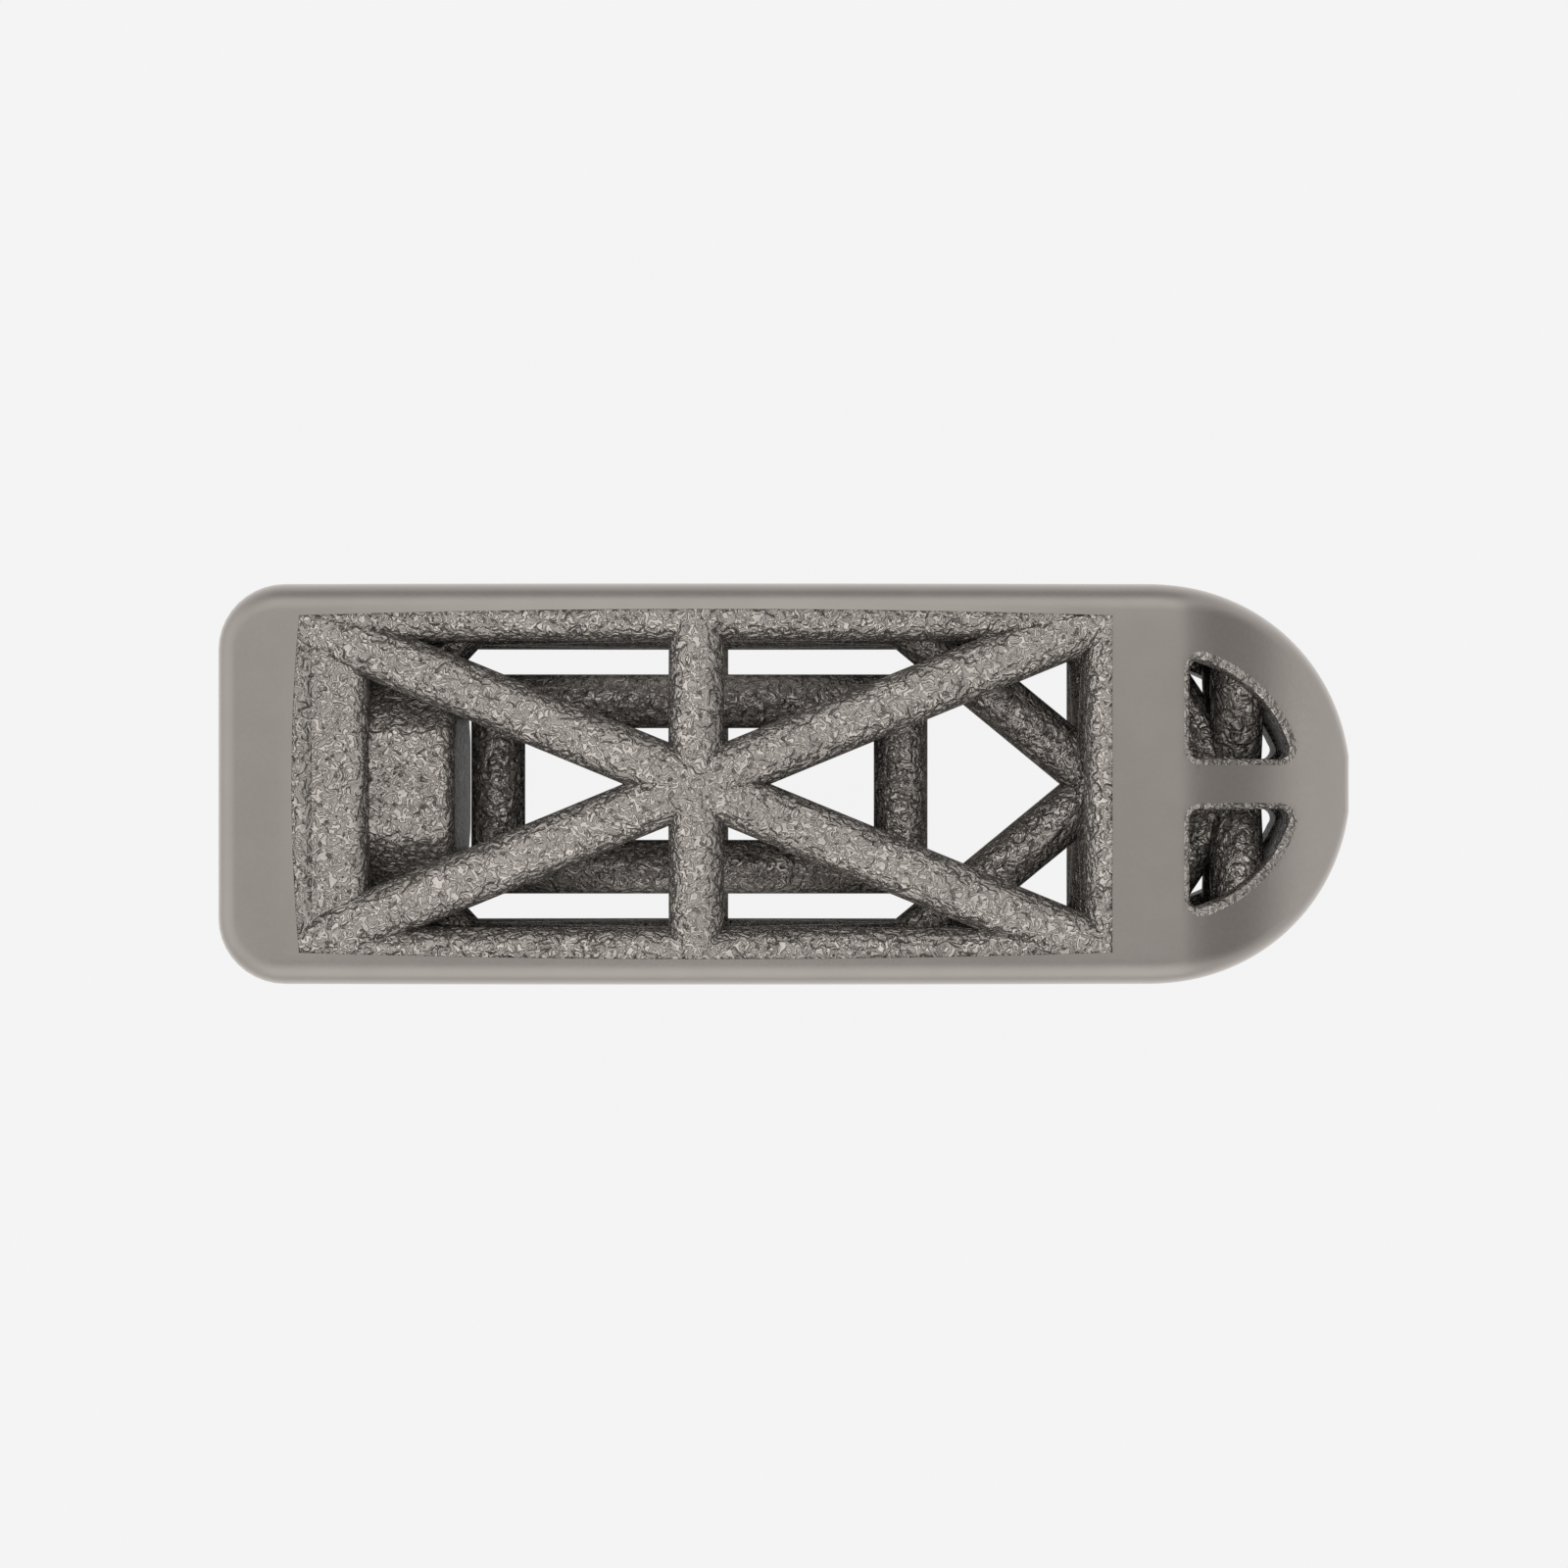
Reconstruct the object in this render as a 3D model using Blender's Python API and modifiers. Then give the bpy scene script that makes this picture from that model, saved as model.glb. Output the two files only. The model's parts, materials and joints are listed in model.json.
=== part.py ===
# Spinal interbody cage: a bullet-nosed titanium implant printed in one piece.
# A smooth shell with domed faces holds an open truss of round struts.
# Frame: X runs from the rear end to the nose, Y across, Z up.
# The origin is under the middle of the cage, on the surface that it lies on.

import math

import bmesh
import bpy
from mathutils import Matrix, Vector

# Overall sizes, in metres
LENGTH = 0.0258
WIDTH = 0.0090
CROWN_HEIGHT = 0.0075  # over the crossing of the diagonal struts
RIM_HEIGHT = 0.0064  # over the smooth rim, at the middle of the truss
RIM_ARC_RADIUS = 0.400  # lengthwise curve of the rim

# Shell outline and edges
REAR_CORNER_RADIUS = 0.00148
SIDE_EDGE_RADIUS = 0.00060
REAR_EDGE_RADIUS = 0.00045
NOSE_REACH = 0.00497  # half axis of the elliptical nose, along X
TIP_FLAT_WIDTH = 0.0013
TIP_HEIGHT = 0.0005
TAPER_LENGTH = 0.0043  # from the start of the nose's slope to its tip
TAPER_POWER = 1.5
TIP_ROUNDING = 0.6  # share of the half height that the edge rounding may take

# Truss: nodes lie on a grid of four cells along X and four across Y
STRUT_DIAMETER = 0.00125
NODE_INSET = 0.00066  # from the shell's faces to the strut axes
TRUSS_CENTRE_X = -0.00216
CELL_LENGTH = 0.00467
REAR_FRAME_X = -0.01115
BAY_MARGIN = 0.00004  # the bay is this much wider than the truss's frame
STRUT_OVERRUN = 0.00010  # past each node, so that bent joints are filled
STRUT_ROLL = math.radians(37)  # from one strut's facets to the next one's

# Rear wall with the boss for the inserter
REAR_WALL = 0.00335
LEDGE_DROP = 0.00010  # wall top under the struts' tops
LEDGE_ROUNDING = 0.00030
BOSS_SIDES = 8
BOSS_ACROSS_FLATS = 0.00573
BOSS_LENGTH = 0.00178
BOSS_EDGE = 0.00018
BORE_DIAMETER = 0.0032
BORE_DEPTH = 0.0045  # from the rear face; the boss's end stays closed
BORE_MOUTH_DIAMETER = 0.0038
BORE_MOUTH_DEPTH = 0.0003
GRIP_LENGTH = 0.0020
GRIP_HEIGHT = 0.0020
GRIP_DEPTH = 0.0006
GRIP_ROUNDING = 0.0003
REAR_BRACE_FOOT_X = -0.00748  # where the rear braces leave the sides
REAR_BRACE_ANGLE = math.radians(46.6)  # from the X axis

# Side windows
SIDE_WINDOW_REAR_X = -0.00890
SIDE_WINDOW_FRONT_X = 0.00655
SIDE_WINDOW_HEIGHT = 0.0034
SIDE_WINDOW_ROUNDING = 0.0008

# Nose chamber, its two windows and its braces
NOSE_WALL = 0.0013
NOSE_TIP_WALL = 0.0015
NOSE_SKIN = 0.0011
NOSE_WINDOW_REAR_X = 0.00888
NOSE_WINDOW_SIDE_SHELF = 0.00025  # from the chamber's wall to the windows' curved edge
NOSE_WINDOW_TIP_SHELF = 0.00011
NOSE_BAR_WIDTH = 0.00114
NOSE_WINDOW_ROUNDING = 0.00024
NOSE_BRACE_FOOT_X = 0.00762
NOSE_BRACE_HEAD_X = 0.01018
NOSE_CROSS_X = 0.01023
NOSE_CROSS_REACH = 0.0029
NOSE_CROSS_SLOPE = 0.54

# Fineness of the round shapes, and the least angle of an edge that stays sharp
SHARP_ANGLE = math.radians(30)
STRUT_SIDES = 16
NOSE_STEPS = 18
SIDE_STEPS = 5
CORNER_STEPS = 5
EDGE_STEPS = 5
ROUNDING_STEPS = 4
BORE_SIDES = 32

# Overlap of shapes that are cut or joined
OVERLAP = 0.0005
MERGE_DISTANCE = 0.0000001

# Derived places
MID_HEIGHT = CROWN_HEIGHT / 2
STRUT_RADIUS = STRUT_DIAMETER / 2
REAR_X = -LENGTH / 2
TIP_X = LENGTH / 2
TAPER_START_X = TIP_X - TAPER_LENGTH
NODE_Y = WIDTH / 2 - NODE_INSET
REAR_WALL_X = REAR_X + REAR_WALL
BOSS_END_X = REAR_WALL_X + BOSS_LENGTH
FRONT_FRAME_X = TRUSS_CENTRE_X + 2 * CELL_LENGTH
TIP_SHARE = math.sqrt(1 - (TIP_FLAT_WIDTH / WIDTH) ** 2)
NOSE_CENTRE_X = TIP_X - NOSE_REACH * TIP_SHARE


def remove_everything():
    for old in list(bpy.data.objects):
        bpy.data.objects.remove(old, do_unlink=True)
    for old in list(bpy.data.collections):
        bpy.data.collections.remove(old)


def add_collection(name):
    collection = bpy.data.collections.new(name)
    bpy.context.scene.collection.children.link(collection)
    return collection


def add_object(name, bm, collection):
    """Turns a bmesh that is centred on the mid plane into an object there."""
    bmesh.ops.recalc_face_normals(bm, faces=bm.faces)
    mesh = bpy.data.meshes.new(name)
    bm.to_mesh(mesh)
    bm.free()
    obj = bpy.data.objects.new(name, mesh)
    obj.location.z = MID_HEIGHT
    collection.objects.link(obj)
    return obj


def hide_tool(obj):
    obj.hide_render = True
    obj.display_type = "WIRE"


def rim_half_height(x):
    """Half the height of the plain shell: a flat arc, then the nose's slope."""
    rim = RIM_HEIGHT / 2 - (x - TRUSS_CENTRE_X) ** 2 / (2 * RIM_ARC_RADIUS)
    share = max(0.0, (x - TAPER_START_X) / TAPER_LENGTH)
    return rim - (rim - TIP_HEIGHT / 2) * min(1.0, share) ** TAPER_POWER


def nose_points(half_length, half_width, last_angle, steps):
    """Points of an ellipse about the nose's centre, from the side to the tip."""
    points = []
    for step in range(steps + 1):
        angle = last_angle * step / steps
        across = Vector((math.sin(angle) / half_length, math.cos(angle) / half_width))
        place = Vector((NOSE_CENTRE_X + half_length * math.sin(angle), half_width * math.cos(angle)))
        points.append((place, across.normalized()))
    return points


def shell_outline():
    """Half of the plan outline, from the rear end to the tip, with its normals."""
    points = []
    corner = Vector((REAR_X + REAR_CORNER_RADIUS, WIDTH / 2 - REAR_CORNER_RADIUS))
    for step in range(CORNER_STEPS + 1):
        angle = math.pi - math.pi / 2 * step / CORNER_STEPS
        normal = Vector((math.cos(angle), math.sin(angle)))
        points.append((corner + normal * REAR_CORNER_RADIUS, normal))
    for step in range(1, SIDE_STEPS):
        x = corner.x + (NOSE_CENTRE_X - corner.x) * step / SIDE_STEPS
        points.append((Vector((x, WIDTH / 2)), Vector((0, 1))))
    points += nose_points(NOSE_REACH, WIDTH / 2, math.asin(TIP_SHARE), NOSE_STEPS)
    return points


def edge_radius(x, normal):
    """Rounding of the outer edge: less at the rear end, and running out at the tip."""
    rearward = max(0.0, -normal.x) ** 2
    radius = SIDE_EDGE_RADIUS + (REAR_EDGE_RADIUS - SIDE_EDGE_RADIUS) * rearward
    return min(radius, TIP_ROUNDING * rim_half_height(x))


def ring(bm, outline, angle):
    """One closed loop of the rounded edge; its points come in pairs across Y."""
    left = []
    right = []
    for place, normal in outline:
        radius = edge_radius(place.x, normal)
        inward = place - normal * radius * (1 - math.cos(angle))
        z = rim_half_height(inward.x) - radius * (1 - math.sin(angle))
        left.append(bm.verts.new((inward.x, inward.y, z)))
        right.append(bm.verts.new((inward.x, -inward.y, z)))
    return left + right[::-1]


def bridge(bm, lower, upper):
    count = len(lower)
    for i in range(count):
        j = (i + 1) % count
        bm.faces.new((lower[i], lower[j], upper[j], upper[i]))


def cap_in_strips(bm, loop):
    """Closes a loop by strips across Y, so that the cap follows the side profile."""
    count = len(loop)
    for i in range(count // 2 - 1):
        bm.faces.new((loop[i], loop[i + 1], loop[count - 2 - i], loop[count - 1 - i]))


def add_mirror(obj):
    mirror = obj.modifiers.new("lower_half", "MIRROR")
    mirror.use_axis = (False, False, True)
    mirror.merge_threshold = MERGE_DISTANCE


def add_shell(collection):
    """Outer form: the upper half as a loft from the mid plane to the top."""
    bm = bmesh.new()
    outline = shell_outline()
    left = [bm.verts.new((place.x, place.y, 0)) for place, normal in outline]
    right = [bm.verts.new((place.x, -place.y, 0)) for place, normal in outline]
    loops = [left + right[::-1]]
    for step in range(EDGE_STEPS + 1):
        loops.append(ring(bm, outline, math.pi / 2 * step / EDGE_STEPS))
    for lower, upper in zip(loops, loops[1:]):
        bridge(bm, lower, upper)
    cap_in_strips(bm, loops[-1])
    shell = add_object("cage_body", bm, collection)
    add_mirror(shell)
    return shell


def add_profile(name, points, half_width, collection):
    """A flat outline in the XZ plane, given half a thickness to each side of it."""
    curve = bpy.data.curves.new(name, "CURVE")
    curve.dimensions = "2D"
    curve.fill_mode = "BOTH"
    curve.extrude = half_width
    spline = curve.splines.new("POLY")
    spline.points.add(len(points) - 1)
    for point, (x, z) in zip(spline.points, points):
        point.co = (x, z, 0, 1)
    spline.use_cyclic_u = True
    flat = bpy.data.objects.new(name, curve)
    collection.objects.link(flat)
    evaluated = flat.evaluated_get(bpy.context.evaluated_depsgraph_get())
    bm = bmesh.new()
    bm.from_mesh(bpy.data.meshes.new_from_object(evaluated))
    bpy.data.objects.remove(flat)
    bmesh.ops.remove_doubles(bm, verts=bm.verts, dist=MERGE_DISTANCE)
    bmesh.ops.transform(bm, matrix=Matrix.Rotation(math.pi / 2, 4, "X"), verts=bm.verts)
    return add_object(name, bm, collection)


def add_bay_cutter(collection):
    """The open bay, with the ledge over the rear wall and its rounded inner edge."""
    top = CROWN_HEIGHT
    ledge_z = rim_half_height(REAR_FRAME_X) - NODE_INSET + STRUT_RADIUS - LEDGE_DROP
    front_x = FRONT_FRAME_X - BAY_MARGIN
    ledge_x = REAR_FRAME_X - BAY_MARGIN
    upper = [(front_x, top), (ledge_x, top), (ledge_x, ledge_z)]
    for step in range(ROUNDING_STEPS + 1):
        angle = math.pi / 2 * (1 - step / ROUNDING_STEPS)
        x = REAR_WALL_X - LEDGE_ROUNDING * (1 - math.cos(angle))
        z = ledge_z - LEDGE_ROUNDING * (1 - math.sin(angle))
        upper.append((x, z))
    lower = [(x, -z) for x, z in reversed(upper)]
    return add_profile("bay_cutter", upper + lower, NODE_Y + BAY_MARGIN, collection)


def add_prism(name, outline, low, high, rounding, collection):
    """An upright prism, with its sharp upright edges rounded."""
    bm = bmesh.new()
    base = bm.faces.new([bm.verts.new((x, y, low)) for x, y in outline])
    grown = bmesh.ops.extrude_face_region(bm, geom=[base])
    moved = [item for item in grown["geom"] if isinstance(item, bmesh.types.BMVert)]
    bmesh.ops.translate(bm, verts=moved, vec=(0, 0, high - low))
    bmesh.ops.recalc_face_normals(bm, faces=bm.faces)
    sharp = []
    for edge in bm.edges:
        run = edge.verts[1].co - edge.verts[0].co
        if abs(run.z) > MERGE_DISTANCE and edge.calc_face_angle() > SHARP_ANGLE:
            sharp.append(edge)
    bmesh.ops.bevel(bm, geom=sharp, offset=rounding, segments=ROUNDING_STEPS, profile=0.5, affect="EDGES")
    return add_object(name, bm, collection)


def add_side_window_cutter(collection):
    """One rounded slot through both sides, turned so that its rounded edges run along Y."""
    half_height = SIDE_WINDOW_HEIGHT / 2
    outline = [
        (SIDE_WINDOW_REAR_X, -half_height),
        (SIDE_WINDOW_FRONT_X, -half_height),
        (SIDE_WINDOW_FRONT_X, half_height),
        (SIDE_WINDOW_REAR_X, half_height),
    ]
    reach = WIDTH / 2 + OVERLAP
    cutter = add_prism("side_window_cutter", outline, -reach, reach, SIDE_WINDOW_ROUNDING, collection)
    cutter.data.transform(Matrix.Rotation(math.pi / 2, 4, "X"))
    return cutter


def chamber_outline():
    """Half of the chamber's plan: straight from the bay, then an inner ellipse."""
    half_width = WIDTH / 2 - NOSE_WALL
    start = (Vector((FRONT_FRAME_X - OVERLAP, half_width)), Vector((0, 1)))
    last_angle = math.asin(TIP_SHARE)
    return [start] + nose_points(NOSE_REACH - NOSE_TIP_WALL, half_width, last_angle, NOSE_STEPS)


def add_chamber_cutter(collection):
    """Hollow of the nose, between skins of even thickness that follow the slope."""
    bm = bmesh.new()
    outline = chamber_outline()
    loops = []
    for level in (0, 1):
        left = []
        right = []
        for place, normal in outline:
            z = level * (rim_half_height(place.x) - NOSE_SKIN)
            left.append(bm.verts.new((place.x, place.y, z)))
            right.append(bm.verts.new((place.x, -place.y, z)))
        loops.append(left + right[::-1])
    bridge(bm, loops[0], loops[1])
    cap_in_strips(bm, loops[1])
    cutter = add_object("chamber_cutter", bm, collection)
    add_mirror(cutter)
    return cutter


def add_nose_window_cutter(side, collection):
    """A quarter-round window: beside the middle bar, inside the chamber's wall."""
    half_length = NOSE_REACH - NOSE_TIP_WALL - NOSE_WINDOW_TIP_SHELF
    half_width = WIDTH / 2 - NOSE_WALL - NOSE_WINDOW_SIDE_SHELF
    first = math.asin((NOSE_WINDOW_REAR_X - NOSE_CENTRE_X) / half_length)
    last = math.acos(NOSE_BAR_WIDTH / 2 / half_width)
    outline = [(NOSE_WINDOW_REAR_X, side * NOSE_BAR_WIDTH / 2)]
    for step in range(NOSE_STEPS + 1):
        angle = last + (first - last) * step / NOSE_STEPS
        x = NOSE_CENTRE_X + half_length * math.sin(angle)
        outline.append((x, side * half_width * math.cos(angle)))
    name = "nose_window_cutter_left" if side > 0 else "nose_window_cutter_right"
    return add_prism(name, outline, -CROWN_HEIGHT, CROWN_HEIGHT, NOSE_WINDOW_ROUNDING, collection)


def add_strut(number, start, end, collection):
    """A round bar between two nodes; its roll keeps its facets off its neighbours'."""
    start = Vector(start)
    run = Vector(end) - start
    bm = bmesh.new()
    bmesh.ops.create_cone(
        bm,
        cap_ends=True,
        segments=STRUT_SIDES,
        radius1=STRUT_RADIUS,
        radius2=STRUT_RADIUS,
        depth=run.length + 2 * STRUT_OVERRUN,
    )
    turn = run.to_track_quat("Z", "Y").to_matrix().to_4x4()
    roll = Matrix.Rotation(number * STRUT_ROLL, 4, "Z")
    bmesh.ops.transform(bm, matrix=Matrix.Translation(start + run / 2) @ turn @ roll, verts=bm.verts)
    return add_object(f"strut_{number:02d}", bm, collection)


def add_turned(name, profile, sides, first_angle, collection):
    """A turned solid about the X axis, from a profile of (x, radius) pairs."""
    bm = bmesh.new()
    loops = []
    for x, radius in profile:
        loop = []
        for step in range(sides):
            angle = first_angle + 2 * math.pi * step / sides
            loop.append(bm.verts.new((x, radius * math.cos(angle), radius * math.sin(angle))))
        loops.append(loop)
    for lower, upper in zip(loops, loops[1:]):
        bridge(bm, lower, upper)
    bm.faces.new(loops[0])
    bm.faces.new(loops[-1])
    return add_object(name, bm, collection)


def centre_node_z():
    """Height of the centre node: the tilted ends of the middle bars just reach the crown."""
    rise = CROWN_HEIGHT / 2 - STRUT_RADIUS - rim_half_height(TRUSS_CENTRE_X) + NODE_INSET
    tilt = math.atan2(rise, NODE_Y)
    return CROWN_HEIGHT / 2 - STRUT_RADIUS * math.cos(tilt) - STRUT_OVERRUN * math.sin(tilt)


def node(i, j, level):
    """A truss node: i and j count half cells from the centre, level is -1, 0 or 1."""
    x = TRUSS_CENTRE_X + i * CELL_LENGTH
    z = centre_node_z() if i == 0 and j == 0 else rim_half_height(x) - NODE_INSET
    return (x, j * NODE_Y / 2, level * z)


def face_struts(level):
    """Struts of the upper or lower face: frame, diagonals and the middle bar."""
    runs = []
    for j in (-2, 2):
        runs.append((node(-2, j, level), node(0, j, level)))
        runs.append((node(0, j, level), node(2, j, level)))
        runs.append((node(0, j, level), node(0, 0, level)))
        for i in (-2, 2):
            runs.append((node(i, j, level), node(0, 0, level)))
    runs.append((node(2, -2, level), node(2, 2, level)))
    rear_z = level * (rim_half_height(REAR_FRAME_X) - NODE_INSET)
    runs.append(((REAR_FRAME_X, -NODE_Y, rear_z), (REAR_FRAME_X, NODE_Y, rear_z)))
    return runs


def web_struts():
    """Crossing diagonals between the two faces: inside the bay, in its sides and at its front."""
    runs = []
    for level in (-1, 1):
        for j in (-2, 2):
            for i in (-2, 2):
                runs.append((node(i, j, level), node(0, 0, -level)))
                runs.append((node(i, j, level), node(0, j, -level)))
        runs.append((node(2, -2, level), node(2, 2, -level)))
    return runs


def rear_brace_head(side):
    """The rear braces end in the boss, half way between its flats and its bore."""
    y = (BOSS_ACROSS_FLATS + BORE_DIAMETER) / 4
    return (REAR_BRACE_FOOT_X - (NODE_Y - y) / math.tan(REAR_BRACE_ANGLE), side * y, 0)


def middle_struts():
    """Struts in the mid plane: the rectangle and the braces at both ends."""
    runs = []
    for side in (-1, 1):
        runs.append((node(-1, side, 0), node(1, side, 0)))
        runs.append((node(side, -1, 0), node(side, 1, 0)))
        runs.append((node(1, 2 * side, 0), node(2, 0, 0)))
        runs.append(((REAR_BRACE_FOOT_X, side * NODE_Y, 0), rear_brace_head(side)))
        runs.append(((NOSE_BRACE_FOOT_X, side * NODE_Y, 0), (NOSE_BRACE_HEAD_X, 0, 0)))
        reach_y = side * NOSE_CROSS_REACH
        reach_z = NOSE_CROSS_SLOPE * NOSE_CROSS_REACH
        runs.append(((NOSE_CROSS_X, -reach_y, -reach_z), (NOSE_CROSS_X, reach_y, reach_z)))
    return runs


def add_struts(collection):
    runs = face_struts(1) + face_struts(-1) + web_struts() + middle_struts()
    for number, (start, end) in enumerate(runs):
        add_strut(number, start, end, collection)


def add_boss(collection):
    """Eight-sided boss around the inserter's bore, with its free edge broken."""
    to_corner = 1 / math.cos(math.pi / BOSS_SIDES)
    radius = BOSS_ACROSS_FLATS / 2 * to_corner
    profile = [
        (REAR_WALL_X - OVERLAP, radius),
        (BOSS_END_X - BOSS_EDGE, radius),
        (BOSS_END_X, radius - BOSS_EDGE * to_corner),
    ]
    return add_turned("boss", profile, BOSS_SIDES, math.pi / BOSS_SIDES, collection)


def add_bore_cutter(collection):
    """Blind round bore through the wall into the boss, with a flared mouth at the rear end."""
    bore = BORE_DIAMETER / 2
    mouth = BORE_MOUTH_DIAMETER / 2
    flare = (mouth - bore) / BORE_MOUTH_DEPTH
    profile = [
        (REAR_X - OVERLAP, mouth + OVERLAP * flare),
        (REAR_X + BORE_MOUTH_DEPTH, bore),
        (REAR_X + BORE_DEPTH, bore),
    ]
    return add_turned("bore_cutter", profile, BORE_SIDES, 0, collection)


def add_grip_cutters(collection):
    """Shallow slots in both sides at the rear end, for the inserter's forks."""
    for side, name in ((1, "grip_cutter_left"), (-1, "grip_cutter_right")):
        inner = WIDTH / 2 - GRIP_DEPTH
        outline = [
            (REAR_X - OVERLAP, -GRIP_HEIGHT / 2),
            (REAR_X + GRIP_LENGTH, -GRIP_HEIGHT / 2),
            (REAR_X + GRIP_LENGTH, GRIP_HEIGHT / 2),
            (REAR_X - OVERLAP, GRIP_HEIGHT / 2),
        ]
        low, high = sorted((-side * inner, -side * (WIDTH / 2 + OVERLAP)))
        cutter = add_prism(name, outline, low, high, GRIP_ROUNDING, collection)
        cutter.data.transform(Matrix.Rotation(math.pi / 2, 4, "X"))


def add_boolean(obj, name, operation, collection):
    modifier = obj.modifiers.new(name, "BOOLEAN")
    modifier.operation = operation
    modifier.solver = "EXACT"
    modifier.operand_type = "COLLECTION"
    modifier.collection = collection
    for tool in collection.objects:
        hide_tool(tool)


def add_smoothing(obj):
    """Last in the stack: smooth faces, with the edges over the sharp angle kept sharp."""
    group = bpy.data.node_groups.new("smooth_by_angle", "GeometryNodeTree")
    group.interface.new_socket("Geometry", in_out="INPUT", socket_type="NodeSocketGeometry")
    group.interface.new_socket("Geometry", in_out="OUTPUT", socket_type="NodeSocketGeometry")
    start = group.nodes.new("NodeGroupInput")
    end = group.nodes.new("NodeGroupOutput")
    faces = group.nodes.new("GeometryNodeSetShadeSmooth")
    edges = group.nodes.new("GeometryNodeSetShadeSmooth")
    edges.domain = "EDGE"
    edges.inputs["Shade Smooth"].default_value = False
    angle = group.nodes.new("GeometryNodeInputMeshEdgeAngle")
    sharp = group.nodes.new("FunctionNodeCompare")
    sharp.operation = "GREATER_THAN"
    sharp.inputs["B"].default_value = SHARP_ANGLE
    group.links.new(start.outputs["Geometry"], faces.inputs["Geometry"])
    group.links.new(faces.outputs["Geometry"], edges.inputs["Geometry"])
    group.links.new(angle.outputs["Unsigned Angle"], sharp.inputs["A"])
    group.links.new(sharp.outputs["Result"], edges.inputs["Selection"])
    group.links.new(edges.outputs["Geometry"], end.inputs["Geometry"])
    obj.modifiers.new("smoothing", "NODES").node_group = group


def titanium():
    material = bpy.data.materials.new("printed_titanium")
    material.use_nodes = True
    shader = material.node_tree.nodes["Principled BSDF"]
    shader.inputs["Base Color"].default_value = (0.30, 0.28, 0.26, 1)
    shader.inputs["Metallic"].default_value = 1.0
    shader.inputs["Roughness"].default_value = 0.42
    return material


def main():
    remove_everything()
    cage = add_collection("spinal_interbody_cage")
    openings = add_collection("openings")
    rear_boss = add_collection("rear_boss")
    rear_cuts = add_collection("rear_cuts")
    truss = add_collection("truss")
    body = add_shell(cage)
    body.data.materials.append(titanium())
    add_bay_cutter(openings)
    add_side_window_cutter(openings)
    add_chamber_cutter(openings)
    add_nose_window_cutter(1, openings)
    add_nose_window_cutter(-1, openings)
    add_boss(rear_boss)
    add_bore_cutter(rear_cuts)
    add_grip_cutters(rear_cuts)
    add_struts(truss)
    add_boolean(body, "cut_openings", "DIFFERENCE", openings)
    add_boolean(body, "join_boss", "UNION", rear_boss)
    add_boolean(body, "cut_rear", "DIFFERENCE", rear_cuts)
    add_boolean(body, "join_truss", "UNION", truss)
    add_smoothing(body)


main()
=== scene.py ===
import json
import math

import bmesh
import bpy
from mathutils import Matrix, Vector

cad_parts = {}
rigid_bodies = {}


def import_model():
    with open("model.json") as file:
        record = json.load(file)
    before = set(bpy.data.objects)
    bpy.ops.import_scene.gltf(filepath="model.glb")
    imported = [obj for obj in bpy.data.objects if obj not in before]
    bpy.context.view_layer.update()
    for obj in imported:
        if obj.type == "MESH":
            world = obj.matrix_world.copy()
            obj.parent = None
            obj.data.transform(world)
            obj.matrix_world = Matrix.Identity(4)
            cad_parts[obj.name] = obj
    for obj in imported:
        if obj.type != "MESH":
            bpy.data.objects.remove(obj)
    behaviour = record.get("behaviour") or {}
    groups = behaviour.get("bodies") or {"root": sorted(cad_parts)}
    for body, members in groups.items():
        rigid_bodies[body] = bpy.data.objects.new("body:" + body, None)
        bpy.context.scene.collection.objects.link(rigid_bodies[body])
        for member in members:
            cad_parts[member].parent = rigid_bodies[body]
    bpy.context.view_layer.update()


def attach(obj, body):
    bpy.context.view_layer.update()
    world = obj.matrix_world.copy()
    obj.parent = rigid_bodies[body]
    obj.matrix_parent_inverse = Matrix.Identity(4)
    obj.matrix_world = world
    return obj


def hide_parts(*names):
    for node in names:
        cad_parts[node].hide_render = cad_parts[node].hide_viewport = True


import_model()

# Spinal interbody cage: satin bullet-nosed shell, rough sintered truss inside it.
# Sizes are in millimetres here and become metres when a piece is made.
mm = 0.001
midHeight = 3.7486  # from the floor to the mid plane, which the cage mirrors about
past = 1.0  # how far a cutter reaches past what it cuts
sunk = 0.5  # how far a solid starts inside its neighbour

# Smooth shell
shell = {
    "length": 25.8,
    "width": 9.0,
    "rimHeight": 6.4,
    "rimArcRadius": 400.0,
    "rearCorner": 1.48,
    "sideEdge": 0.60,
    "rearEdge": 0.45,
    "noseReach": 4.97,
    "tipFlat": 1.3,
    "tipHeight": 0.5,
    "taperLength": 4.3,
    "taperPower": 1.65,
    "rimBulge": 0.60,  # crosswise swelling of both faces, most at the middle of the bay
    "cornerSteps": 10,
    "sideSteps": 26,
    "noseSteps": 44,
    "edgeSteps": 12,
    "edgeProbe": 0.02,  # run over which the slope of a face is taken
    "edgeLeast": 0.01,  # least height of the middle of an edge's rounding
    "edgeShrink": 0.97,  # a rounding that leaves less is drawn in by this
    "capCuts": 15,  # rows across each face
    "smoothAngle": 28.0,
}

# Round struts; nodes lie on a grid of half cells about the centre
truss = {
    "thickness": 1.25,
    "inset": 0.66,
    "rearInset": 0.632,  # the rear strut lies flush with the face
    "centreX": -2.16,
    "cell": 4.67,
    "rearFrameX": -11.23,
    "crown": 7.497,
    "overrun": 0.10,  # past each node, so that bent joints are filled
    "roll": 37.0,  # degrees from one strut's facets to the next one's
    "sides": 32,
    "rearBraceFootX": -7.48,
    "rearBraceAngle": 46.6,
    "noseBraceFootX": 7.62,
    "noseBraceHeadX": 10.18,
    "noseCrossX": 10.23,
    "noseCrossReach": 2.9,
    "noseCrossSlope": 0.34,
}

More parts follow.
